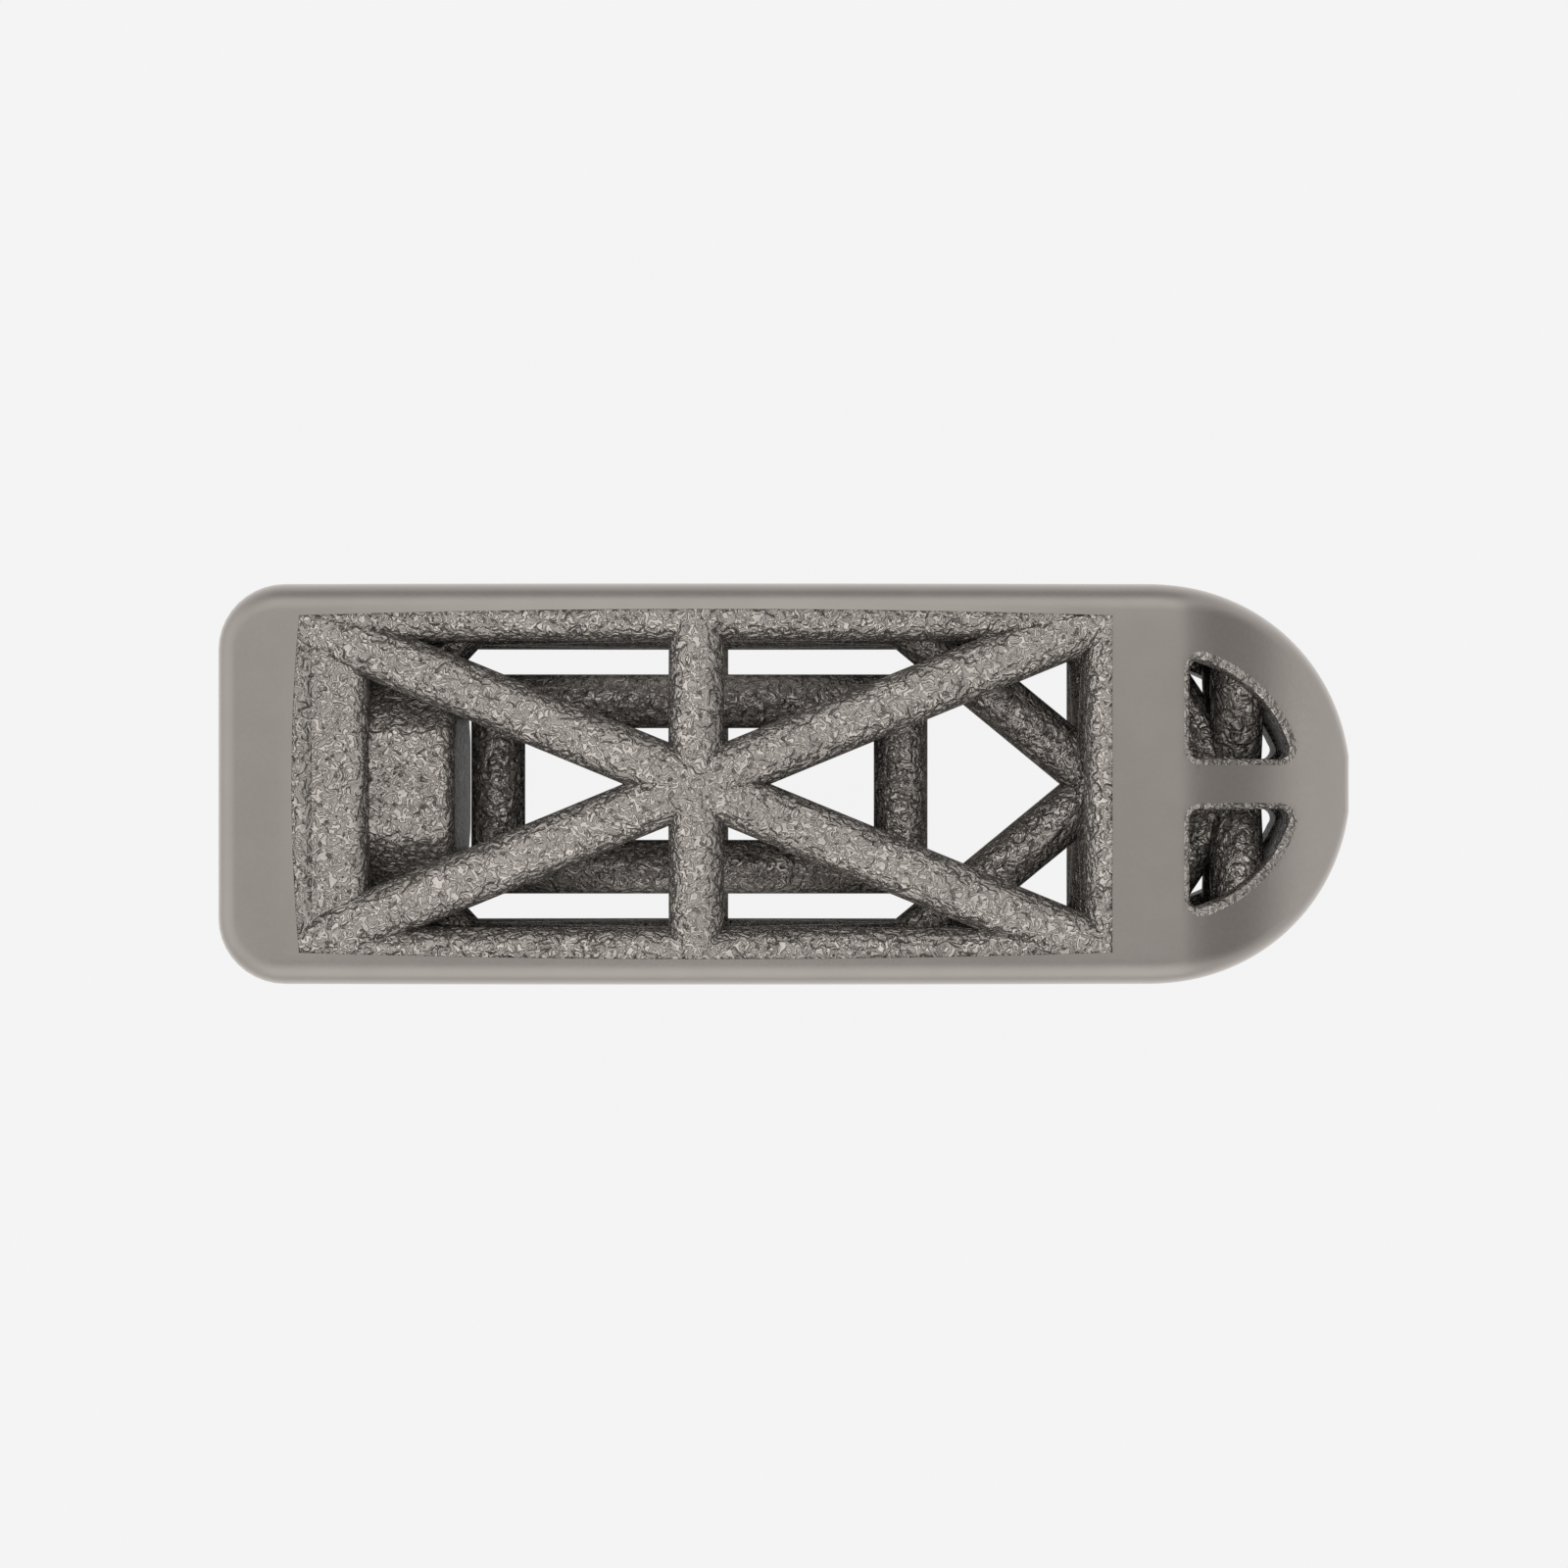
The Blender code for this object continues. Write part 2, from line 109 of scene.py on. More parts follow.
# Open bay between the rear wall and the front of the truss
bay = {
    "rearX": -11.03,
    "rearBow": 0.17,
    "frontX": 7.14,
    "halfWidth": 3.77,
    "sideBow": 0.13,
    "wallX": -9.55,
    "ledgeDrop": 0.20,
    "ledgeRounding": 0.42,
    "roundingSteps": 8,
    "cutHeight": 6.0,
    "planSteps": 24,
}

# Boss, threaded bore and grips at the rear wall
rearEnd = {
    "bossFlats": 5.73,
    "bossHeight": 4.86,  # a little lower than wide, so that it stays below the ledge
    "bossLength": 1.90,
    "bossEdge": (0.24, 0.50),  # along the boss and inwards
    "bossEdgeSteps": 8,
    "bossCorner": 0.6,  # rounding between the flats
    "bossCornerSteps": 4,
    "bore": 3.2,
    "boreDepth": 4.5,
    "mouth": 3.9,
    "mouthDepth": 0.35,
    "threadPitch": 0.7,
    "threadDepth": 0.28,
    "threadWidth": 0.84,  # share of the pitch
    "boreSides": 64,
    "ringsPerPitch": 10,
    "gripLength": 2.0,
    "gripHeight": 2.0,
    "gripDepth": 0.6,
    "gripRounding": 0.3,
    "gripSteps": 6,
}

# Windows in the sides and in the nose, each with a soft rough lip
windows = {
    "lip": 0.14,
    "lipDepth": 0.09,
    "noseLipGrowth": 0.5,  # the lip of a nose window is this share wider towards the nose
    "lipSteps": 5,
    "sideRearX": -8.90,
    "sideFrontX": 6.55,
    "sideHeight": 3.4,
    "sideCorner": 0.8,
    "sideCornerSteps": 8,
    "noseWall": 1.3,
    "noseTipWall": 1.5,
    "noseSkin": 1.1,
    "noseRearX": 8.88,
    "noseSideShelf": 0.25,
    "noseTipShelf": 0.02,
    "noseBar": 1.14,
    "noseCorner": 0.24,
    "noseCornerSteps": 6,
    "noseCurveSteps": 32,
}


def deselectAll():
    if bpy.context.object and bpy.context.object.mode != "OBJECT":
        bpy.ops.object.mode_set(mode="OBJECT")
    bpy.ops.object.select_all(action="DESELECT")


def takeUp(piece):
    # makes one piece the only selected and active one
    deselectAll()
    piece.select_set(True)
    bpy.context.view_layer.objects.active = piece


# Derived places on the shell
rearX = -shell["length"] / 2
tipX = shell["length"] / 2
halfWide = shell["width"] / 2
taperStartX = tipX - shell["taperLength"]
tipShare = math.sqrt(1 - (shell["tipFlat"] / shell["width"]) ** 2)
noseCentreX = tipX - shell["noseReach"] * tipShare
nodeY = halfWide - truss["inset"]
strutRadius = truss["thickness"] / 2
bayMiddleX = (bay["rearX"] + bay["frontX"]) / 2
bayHalfLength = (bay["frontX"] - bay["rearX"]) / 2
bossEndX = bay["wallX"] + rearEnd["bossLength"]


def rimHalf(x):
    # half height of the plain shell along its length
    rim = shell["rimHeight"] / 2 - (x - truss["centreX"]) ** 2 / (2 * shell["rimArcRadius"])
    share = min(1.0, max(0.0, (x - taperStartX) / shell["taperLength"]))
    return rim - (rim - shell["tipHeight"] / 2) * share ** shell["taperPower"]


def faceHeight(x, y):
    # the face swells a little across its width, but not at the ends of the bay
    along = max(0.0, 1 - ((x - bayMiddleX) / bayHalfLength) ** 2)
    across = max(0.0, 1 - (y / halfWide) ** 2)
    return rimHalf(x) + shell["rimBulge"] * along * across


def nosePoints(halfLength, halfAcross, lastAngle, steps):
    points = []
    for step in range(steps + 1):
        angle = lastAngle * step / steps
        normal = Vector((math.sin(angle) / halfLength, math.cos(angle) / halfAcross)).normalized()
        place = Vector((noseCentreX + halfLength * math.sin(angle), halfAcross * math.cos(angle)))
        points.append((place, normal))
    return points


def shellOutline():
    points = []
    corner = Vector((rearX + shell["rearCorner"], halfWide - shell["rearCorner"]))
    for step in range(shell["cornerSteps"] + 1):
        angle = math.pi - math.pi / 2 * step / shell["cornerSteps"]
        normal = Vector((math.cos(angle), math.sin(angle)))
        points.append((corner + normal * shell["rearCorner"], normal))
    for step in range(1, shell["sideSteps"]):
        x = corner.x + (noseCentreX - corner.x) * step / shell["sideSteps"]
        points.append((Vector((x, halfWide)), Vector((0, 1))))
    return points + nosePoints(shell["noseReach"], halfWide, math.asin(tipShare), shell["noseSteps"])


def edgeArc(place, normal):
    # radius, slope and centre height of the rounding that joins the side to the face
    rearward = max(0.0, -normal.x) ** 2
    radius = shell["sideEdge"] + (shell["rearEdge"] - shell["sideEdge"]) * rearward
    while True:
        slope = 0.0
        for _ in range(6):
            inner = place - normal * radius * (1 - math.sin(slope))
            further = inner - normal * shell["edgeProbe"]
            rise = faceHeight(further.x, further.y) - faceHeight(inner.x, inner.y)
            slope = max(0.0, math.atan2(rise, shell["edgeProbe"]))
        centre = faceHeight(inner.x, inner.y) - radius * math.cos(slope)
        if centre > shell["edgeLeast"]:
            return radius, slope, centre
        radius *= shell["edgeShrink"]


def shellRings():
    # from the edge of the lower face round the side to the edge of the upper face
    outline = shellOutline()
    arcs = [edgeArc(place, normal) for place, normal in outline]
    steps = shell["edgeSteps"]
    rings = []
    for level, order in ((-1, range(steps, -1, -1)), (1, range(steps + 1))):
        for step in order:
            left = []
            for (place, normal), (radius, slope, centre) in zip(outline, arcs):
                angle = (math.pi / 2 - slope) * step / steps
                spot = place - normal * radius * (1 - math.cos(angle))
                left.append((spot.x, spot.y, level * (centre + radius * math.sin(angle))))
            right = [(x, -y, z) for x, y, z in reversed(left)]
            rings.append(left + right)
    return rings


def loftRings(name, rings, finish, capCuts=None, capHeight=None):
    # a circle is extruded ring by ring, and each new ring is set in its place
    deselectAll()
    count = len(rings[0])
    bpy.ops.mesh.primitive_circle_add(vertices=count, radius=mm, fill_type="NOTHING")
    piece = bpy.context.object
    piece.name = name
    bpy.ops.object.mode_set(mode="EDIT")
    bpy.ops.mesh.select_mode(type="VERT")
    mesh = bmesh.from_edit_mesh(piece.data)
    mesh.verts.ensure_lookup_table()
    place = mesh.verts.layers.int.new("place")
    level = mesh.verts.layers.int.new("level")
    for number in range(count):
        mesh.verts[number][place] = number
    for number, ring in enumerate(rings):
        if number:
            bpy.ops.mesh.extrude_region_move()
        mesh = bmesh.from_edit_mesh(piece.data)
        place = mesh.verts.layers.int["place"]
        level = mesh.verts.layers.int["level"]
        for vert in mesh.verts:
            if vert.select:
                vert[level] = number
                vert.co = Vector(ring[vert[place]]) * mm
    for end in (0, len(rings) - 1):
        bpy.ops.mesh.select_all(action="DESELECT")
        mesh = bmesh.from_edit_mesh(piece.data)
        place = mesh.verts.layers.int["place"]
        level = mesh.verts.layers.int["level"]
        openEnds = [{count // 2 - 1, count // 2}, {count - 1, 0}]
        for edge in mesh.edges:
            onRing = all(vert[level] == end for vert in edge.verts)
            isEnd = {vert[place] for vert in edge.verts} in openEnds
            if onRing and (capCuts is None or not isEnd):
                edge.select = True
        bmesh.update_edit_mesh(piece.data)
        if capCuts is None:
            bpy.ops.mesh.edge_face_add()
        else:
            bpy.ops.mesh.bridge_edge_loops(number_cuts=capCuts, interpolation="LINEAR")
            if capHeight:
                mesh = bmesh.from_edit_mesh(piece.data)
                for vert in mesh.verts:
                    if vert.select:
                        x, y, z = vert.co / mm
                        vert.co.z = math.copysign(capHeight(x, y), z) * mm
    bpy.ops.mesh.select_all(action="SELECT")
    bpy.ops.mesh.remove_doubles(threshold=0.0001 * mm)
    bpy.ops.mesh.normals_make_consistent(inside=False)
    bpy.ops.object.mode_set(mode="OBJECT")
    for layer in ("place", "level"):
        piece.data.attributes.remove(piece.data.attributes[layer])
    piece.data.materials.append(finish)
    return piece


def combine(piece, tool, operation):
    # the tool is used up, and the faces that it makes keep its finish
    boolean = piece.modifiers.new("tool", "BOOLEAN")
    boolean.operation = operation
    boolean.solver = "EXACT"
    boolean.material_mode = "TRANSFER"
    if isinstance(tool, bpy.types.Collection):
        boolean.operand_type = "COLLECTION"
        boolean.collection = tool
        used = list(tool.objects)
    else:
        boolean.object = tool
        used = [tool]
    takeUp(piece)
    bpy.ops.object.modifier_apply(modifier=boolean.name)
    for old in used:
        bpy.data.objects.remove(old)
    if isinstance(tool, bpy.types.Collection):
        bpy.data.collections.remove(tool)


def roundedOutline(corners, radius, steps):
    # rounds every sharp corner of a flat outline, and drops the points that the rounding passes
    spots = [Vector(corner) for corner in corners]
    sharp = {}
    for number, here in enumerate(spots):
        back = (spots[number - 1] - here).normalized()
        ahead = (spots[(number + 1) % len(spots)] - here).normalized()
        half = back.angle(ahead) / 2
        if half < math.radians(80):
            sharp[number] = (back, ahead, half, radius / math.tan(half))
    points = []
    for number, here in enumerate(spots):
        if number in sharp:
            back, ahead, half, run = sharp[number]
            centre = here + (back + ahead).normalized() * radius / math.sin(half)
            start = here + back * run - centre
            turn = start.angle_signed(here + ahead * run - centre)
            for step in range(steps + 1):
                points.append(centre + Matrix.Rotation(-turn * step / steps, 2) @ start)
        elif all((here - spots[corner]).length > sharp[corner][3] * 1.05 for corner in sharp):
            points.append(here)
    return points


def grown(points, amount, further=0.0, towards=Vector((1, 0))):
    # moves each point of a flat outline outwards, and further where it faces a direction
    area = sum(a.x * b.y - b.x * a.y for a, b in zip(points, points[1:] + points[:1]))
    side = 1 if area > 0 else -1
    moved = []
    for number, point in enumerate(points):
        run = points[(number + 1) % len(points)] - points[number - 1]
        normal = Vector((run.y, -run.x)).normalized() * side
        share = max(0.0, normal.dot(towards))
        moved.append(point + normal * amount * (1 + further * share))
    return moved


# Finishes; colours are linear, sizes in millimetres
satinLook = {
    "light": (0.318, 0.292, 0.269, 1),
    "dark": (0.296, 0.272, 0.250, 1),
    "rim": (0.60, 0.56, 0.52, 1),  # painted sheen, lighter where the surface turns away from the eye
    "paintedSheenRange": (0.24, 0.90),  # of the turn, which is 0 face on and 1 edge on
    "slowShare": 0.6,  # of the slow drift in the tone; the rest is fine grain
    "roughness": (0.29, 0.34),
    "grain": 0.07,
    "depth": 0.0006,
}
sinteredLook = {
    "metal": 0.62,  # the rest scatters light, which keeps the flanks brownish
    "paintedCurlHighlight": (0.60, 0.552, 0.507, 1),  # painted highlight on the melted ridges, for the light they catch
    "plain": (0.372, 0.342, 0.315, 1),
    "paintedFlankShade": (0.175, 0.160, 0.146, 1),  # painted shade where the relief turns away from the eye
    "paintedShadeRange": (0.10, 0.44),  # of the same turn
    # painted shade in the small pits
    "paintedPitShade": (0.22, 0.202, 0.186, 1),
    "edgeTint": (0.3, 0.3, 0.3, 1),  # rough metal hardly shines at a grazing view
    "litRange": (0.65, 1.0),  # the curls are not all lit alike
    "toneScale": 0.4,  # of the grain's scale
    "roughness": (0.21, 0.27),
    "grain": 0.235,
    "lines": 6.3,  # contour lines of the grain that stand up as ridges
    "lineWidth": 0.72,  # share of their spacing
    "depth": 0.138,
}
machinedLook = {
    "light": (0.46, 0.43, 0.405, 1),
    "dark": (0.36, 0.335, 0.315, 1),
    "roughness": (0.26, 0.34),
    "turning": 0.05,  # from one ring to the next
    "wobble": 0.6,
    "grainRange": (0.4, 1.0),
    "depth": 0.0015,
}
driftNoise = {
    "slowScale": 0.06,  # of the fine noise's scale
    "range": (0.3, 0.7),
}
meltNoise = {
    "swirl": 0.9,
    "softness": 0.20,  # width of the soft edge of a curl
    "curlHeight": 0.22,
    "pitScale": 1.5,
    "pitShift": (0.31, 0.17, 0.43),
    "pitSwirl": 0.5,
    "pitRange": (0.36, 0.26),
    "pitDepth": 0.3,
}


def addNode(tree, kind, **values):
    # a value goes to the node's own setting, or else to its input of that name
    node = tree.nodes.new(kind)
    for key, value in values.items():
        if hasattr(node, key):
            setattr(node, key, value)
        else:
            node.inputs[key].default_value = value
    return node


def join(tree, source, target, socket=0):
    # source is a node, whose first output is taken, or an output
    output = source.outputs[0] if isinstance(source, bpy.types.Node) else source
    tree.links.new(output, target.inputs[socket])
    return target


def maths(tree, operation, first, second=None):
    node = addNode(tree, "ShaderNodeMath", operation=operation)
    for socket, value in ((0, first), (1, second)):
        if isinstance(value, (int, float)):
            node.inputs[socket].default_value = value
        elif value is not None:
            join(tree, value, node, socket)
    return node


def ramp(tree, value, low, high, toLow=0.0, toHigh=1.0):
    # smooth step from one range to another
    node = addNode(tree, "ShaderNodeMapRange", interpolation_type="SMOOTHSTEP")
    node.inputs["From Min"].default_value = low
    node.inputs["From Max"].default_value = high
    node.inputs["To Min"].default_value = toLow
    node.inputs["To Max"].default_value = toHigh
    return join(tree, value, node)


def blend(tree, mask, low, high):
    # colours low and high are values or nodes
    node = addNode(tree, "ShaderNodeMix", data_type="RGBA")
    join(tree, mask, node, "Factor")
    for socket, colour in ((6, low), (7, high)):
        if isinstance(colour, tuple):
            node.inputs[socket].default_value = colour
        else:
            join(tree, colour, node, socket)
    return node.outputs[2]


def newGroup(name, inputs, outputs):
    group = bpy.data.node_groups.new(name, "ShaderNodeTree")
    for label, kind, value in inputs:
        socket = group.interface.new_socket(label, in_out="INPUT", socket_type=kind)
        if value is not None:
            socket.default_value = value
    for label, kind in outputs:
        group.interface.new_socket(label, in_out="OUTPUT", socket_type=kind)
    return group, group.nodes.new("NodeGroupInput"), group.nodes.new("NodeGroupOutput")


def driftGroup():
    # slow and fine changes of tone, which every metal finish has
    inputs = [("Vector", "NodeSocketVector", None), ("Scale", "NodeSocketFloat", 1000.0)]
    outputs = [("Drift", "NodeSocketFloat"), ("Grain", "NodeSocketFloat")]
    group, start, end = newGroup("toneDrift", inputs, outputs)
    slowScale = maths(group, "MULTIPLY", start.outputs["Scale"], driftNoise["slowScale"])
    slow = addNode(group, "ShaderNodeTexNoise", Detail=2.0)
    fine = addNode(group, "ShaderNodeTexNoise", Detail=3.0)
    join(group, start.outputs["Vector"], slow, "Vector")
    join(group, start.outputs["Vector"], fine, "Vector")
    join(group, slowScale, slow, "Scale")
    join(group, start.outputs["Scale"], fine, "Scale")
    low, high = driftNoise["range"]
    join(group, ramp(group, slow, low, high), end, "Drift")
    join(group, ramp(group, fine, low, high), end, "Grain")
    return group


def meltGroup():
    # half-melted powder: curling ridges along the contour lines of a noise, and small pits
    inputs = [
        ("Vector", "NodeSocketVector", None),
        ("Scale", "NodeSocketFloat", 4000.0),
        ("Lines", "NodeSocketFloat", 5.0),
        ("Line Width", "NodeSocketFloat", 0.5),
    ]
    outputs = [("Curls", "NodeSocketFloat"), ("Pits", "NodeSocketFloat"), ("Height", "NodeSocketFloat")]
    group, start, end = newGroup("meltGrain", inputs, outputs)
    swirl = addNode(group, "ShaderNodeTexNoise", Detail=1.0, Distortion=meltNoise["swirl"])
    join(group, start.outputs["Vector"], swirl, "Vector")
    join(group, start.outputs["Scale"], swirl, "Scale")
    wave = maths(group, "PINGPONG", maths(group, "MULTIPLY", swirl, start.outputs["Lines"]), 0.5)
    edge = maths(group, "SUBTRACT", 0.5, maths(group, "MULTIPLY", start.outputs["Line Width"], 0.5))
    curls = addNode(group, "ShaderNodeMapRange", interpolation_type="SMOOTHSTEP")
    join(group, wave, curls, "Value")
    join(group, edge, curls, "From Min")
    join(group, maths(group, "ADD", edge, meltNoise["softness"]), curls, "From Max")
    aside = addNode(group, "ShaderNodeMapping")
    aside.inputs["Location"].default_value = meltNoise["pitShift"]
    join(group, start.outputs["Vector"], aside, "Vector")
    holes = addNode(group, "ShaderNodeTexNoise", Detail=1.0, Distortion=meltNoise["pitSwirl"])
    join(group, aside, holes, "Vector")
    pitScale = maths(group, "MULTIPLY", start.outputs["Scale"], meltNoise["pitScale"])
    join(group, pitScale, holes, "Scale")
    pits = ramp(group, holes, *meltNoise["pitRange"])
    join(group, curls, end, "Curls")
    join(group, pits, end, "Pits")
    ridges = maths(group, "MULTIPLY", curls, meltNoise["curlHeight"])
    hollows = maths(group, "MULTIPLY", pits, meltNoise["pitDepth"])
    raised = maths(group, "ADD", ridges, swirl)
    join(group, maths(group, "SUBTRACT", raised, hollows), end, "Height")
    return group


toneDrift = driftGroup()
meltGrain = meltGroup()


def useGroup(tree, group, place, **values):
    node = tree.nodes.new("ShaderNodeGroup")
    node.node_tree = group
    join(tree, place, node, "Vector")
    for label, value in values.items():
        node.inputs[label].default_value = value
    return node


def newFinish(name):
    # a metal with its shader and its object coordinates
    finish = bpy.data.materials.new(name)
    finish.use_nodes = True
    tree = finish.node_tree
    shader = tree.nodes["Principled BSDF"]
    shader.inputs["Metallic"].default_value = 1.0
    place = tree.nodes.new("ShaderNodeTexCoord").outputs["Object"]
    return finish, tree, shader, place


def addRelief(tree, height, depth, shader):
    bump = addNode(tree, "ShaderNodeBump")
    bump.inputs["Strength"].default_value = 1.0
    bump.inputs["Distance"].default_value = depth * mm
    join(tree, height, bump, "Height")
    join(tree, bump, shader, "Normal")
    return bump


def satinTitanium():
    finish, tree, shader, place = newFinish("satinTitanium")
    tone = useGroup(tree, toneDrift, place, Scale=1 / (satinLook["grain"] * mm))
    slow = maths(tree, "MULTIPLY", tone.outputs["Drift"], satinLook["slowShare"])
    fine = maths(tree, "MULTIPLY", tone.outputs["Grain"], 1 - satinLook["slowShare"])
    share = maths(tree, "ADD", slow, fine)
    facing = addNode(tree, "ShaderNodeLayerWeight").outputs["Facing"]
    skin = blend(tree, share, satinLook["dark"], satinLook["light"])
    # painted sheen: the base colour turns lighter as the surface turns edge on
    paintedGrazingMask = ramp(tree, facing, *satinLook["paintedSheenRange"])
    join(tree, blend(tree, paintedGrazingMask, skin, satinLook["rim"]), shader, "Base Color")
    low, high = satinLook["roughness"]
    join(tree, ramp(tree, tone.outputs["Grain"], 0.0, 1.0, low, high), shader, "Roughness")
    addRelief(tree, tone.outputs["Grain"], satinLook["depth"], shader)
    return finish


def sinteredTitanium():
    finish, tree, shader, place = newFinish("sinteredTitanium")
    toneScale = sinteredLook["toneScale"] / (sinteredLook["grain"] * mm)
    tone = useGroup(tree, toneDrift, place, Scale=toneScale)
    melt = useGroup(
        tree,
        meltGrain,
        place,
        Scale=1 / (sinteredLook["grain"] * mm),
        Lines=sinteredLook["lines"],
    )
    melt.inputs["Line Width"].default_value = sinteredLook["lineWidth"]
    shader.inputs["Metallic"].default_value = sinteredLook["metal"]
    shader.inputs["Specular Tint"].default_value = sinteredLook["edgeTint"]
    shader.inputs["Specular IOR Level"].default_value = 0.0
    # painted highlight: the curls get a lighter colour, stronger on some than on others
    level = ramp(tree, tone.outputs["Grain"], 0.0, 1.0, *sinteredLook["litRange"])
    lit = maths(tree, "MULTIPLY", melt.outputs["Curls"], level)
    skin = blend(tree, lit, sinteredLook["plain"], sinteredLook["paintedCurlHighlight"])
    # painted shade in the pits
    skin = blend(tree, melt.outputs["Pits"], skin, sinteredLook["paintedPitShade"])
    relief = addRelief(tree, melt.outputs["Height"], sinteredLook["depth"], shader)
    # painted shade on the flanks of the relief, darker as they turn away from the eye
    facing = join(tree, relief, addNode(tree, "ShaderNodeLayerWeight"), "Normal").outputs["Facing"]
    paintedGrazingMask = ramp(tree, facing, *sinteredLook["paintedShadeRange"])
    skin = blend(tree, paintedGrazingMask, skin, sinteredLook["paintedFlankShade"])
    join(tree, skin, shader, "Base Color")
    low, high = sinteredLook["roughness"]
    join(tree, ramp(tree, melt.outputs["Curls"], 0.0, 1.0, high, low), shader, "Roughness")
    return finish


def machinedTitanium():
    # turned bore: fine rings about the X axis
    finish, tree, shader, place = newFinish("machinedTitanium")
    tone = useGroup(tree, toneDrift, place, Scale=1 / (satinLook["grain"] * mm))
    rings = addNode(tree, "ShaderNodeTexWave", wave_type="BANDS", bands_direction="X", wave_profile="SIN")
    rings.inputs["Scale"].default_value = math.pi / 10 / (machinedLook["turning"] * mm)
    rings.inputs["Distortion"].default_value = machinedLook["wobble"]
    join(tree, place, rings, "Vector")
    level = ramp(tree, tone.outputs["Grain"], 0.0, 1.0, *machinedLook["grainRange"])
    share = maths(tree, "MULTIPLY", rings.outputs["Fac"], level)
    join(tree, blend(tree, share, machinedLook["dark"], machinedLook["light"]), shader, "Base Color")
    low, high = machinedLook["roughness"]
    join(tree, ramp(tree, tone.outputs["Grain"], 0.0, 1.0, low, high), shader, "Roughness")
    addRelief(tree, rings.outputs["Fac"], machinedLook["depth"], shader)
    return finish


satin = satinTitanium()
sintered = sinteredTitanium()
machined = machinedTitanium()


def makeShell():
    return loftRings("cage", shellRings(), satin, capCuts=shell["capCuts"], capHeight=faceHeight)


def cutBay(cage):
    # side profile with the ledge over the rear wall, trimmed by the bowed plan outline
    top = bay["cutHeight"]
    back = bay["rearX"] - past
    ledge = rimHalf(truss["rearFrameX"]) - truss["rearInset"] + strutRadius - bay["ledgeDrop"]
    upper = [(bay["frontX"] + past, top), (back, top), (back, ledge)]
    for step in range(bay["roundingSteps"] + 1):
        angle = math.pi / 2 * (1 - step / bay["roundingSteps"])
        x = bay["wallX"] - bay["ledgeRounding"] * (1 - math.cos(angle))
        upper.append((x, ledge - bay["ledgeRounding"] * (1 - math.sin(angle))))
    profile = upper + [(x, -z) for x, z in reversed(upper)]
    rings = [[(x, side * halfWide, z) for x, z in profile] for side in (-1, 1)]
    cutter = loftRings("bayCutter", rings, sintered)
    outline = []
    steps = bay["planSteps"]
    for step in range(steps + 1):
        x = bay["rearX"] + (bay["frontX"] - bay["rearX"]) * step / steps
        along = 1 - ((x - bayMiddleX) / bayHalfLength) ** 2
        outline.append((x, bay["halfWidth"] + bay["sideBow"] * along))
    left = [(x, y) for x, y in outline]
    right = [(x, -y) for x, y in reversed(outline)]
    rear = []
    for step in range(1, steps):
        y = bay["halfWidth"] * (2 * step / steps - 1)
        rear.append((bay["rearX"] - bay["rearBow"] * (1 - (y / bay["halfWidth"]) ** 2), y))
    plan = left + right + rear
    rings = [[(x, y, level * (top + past)) for x, y in plan] for level in (-1, 1)]
    trim = loftRings("bayTrim", rings, sintered)
    combine(cutter, trim, "INTERSECT")
    combine(cage, cutter, "DIFFERENCE")


def lippedCutter(name, outline, heights, finish, further=0.0, towards=Vector((1, 0))):
    # an opening whose mouth flares into a rounded lip; heights gives the surface at a point
    lip = windows["lip"]
    steps = windows["lipSteps"]
    rings = []
    wide = grown(outline, lip, further, towards)
    rings.append([(point.x, point.y, -halfWide - past) for point in wide])
    for side in (-1, 1):
        order = range(steps + 1) if side < 0 else range(steps, -1, -1)
        for step in order:
            angle = math.pi / 2 * step / steps
            ring = []
            for point in grown(outline, lip * (1 - math.sin(angle)), further, towards):
                deep = heights(point.x, point.y) - windows["lipDepth"] * (1 - math.cos(angle))
                ring.append((point.x, point.y, side * deep))
            rings.append(ring)
    rings.append([(point.x, point.y, halfWide + past) for point in wide])
    return loftRings(name, rings, finish)


def cutSideWindows(cage):
    half = windows["sideHeight"] / 2
    corners = [
        (windows["sideRearX"], -half),
        (windows["sideFrontX"], -half),
        (windows["sideFrontX"], half),
        (windows["sideRearX"], half),
    ]
    outline = roundedOutline(corners, windows["sideCorner"], windows["sideCornerSteps"])
    cutter = lippedCutter("sideWindowCutter", outline, lambda x, y: halfWide, sintered)
    cutter.data.transform(Matrix.Rotation(math.pi / 2, 4, "X"))
    combine(cage, cutter, "DIFFERENCE")


def cutNose(cage):
    # chamber between skins that follow the slope, and a quarter-round window on each side
    halfAcross = halfWide - windows["noseWall"]
    halfLength = shell["noseReach"] - windows["noseTipWall"]
    steps = windows["noseCurveSteps"]
    outline = [(Vector((bay["frontX"] - sunk, halfAcross)), None)]
    outline += nosePoints(halfLength, halfAcross, math.asin(tipShare), steps)
    rings = []
    for level in (-1, 1):
        left = []
        for place, _ in outline:
            left.append((place.x, place.y, level * (rimHalf(place.x) - windows["noseSkin"])))
        rings.append(left + [(x, -y, z) for x, y, z in reversed(left)])
    chamber = loftRings("noseChamber", rings, sintered, capCuts=1)
    combine(cage, chamber, "DIFFERENCE")
    halfAcross -= windows["noseSideShelf"]
    halfLength -= windows["noseTipShelf"]
    first = math.asin((windows["noseRearX"] - noseCentreX) / halfLength)
    last = math.acos(windows["noseBar"] / 2 / halfAcross)
    for side in (-1, 1):
        corners = [(windows["noseRearX"], side * windows["noseBar"] / 2)]
        for step in range(steps + 1):
            angle = last + (first - last) * step / steps
            x = noseCentreX + halfLength * math.sin(angle)
            corners.append((x, side * halfAcross * math.cos(angle)))
        cutter = lippedCutter(
            "noseWindowCutter",
            roundedOutline(corners, windows["noseCorner"], windows["noseCornerSteps"]),
            lambda x, y: rimHalf(x),
            sintered,
            windows["noseLipGrowth"],
            Vector((1, side)).normalized(),
        )
        combine(cage, cutter, "DIFFERENCE")


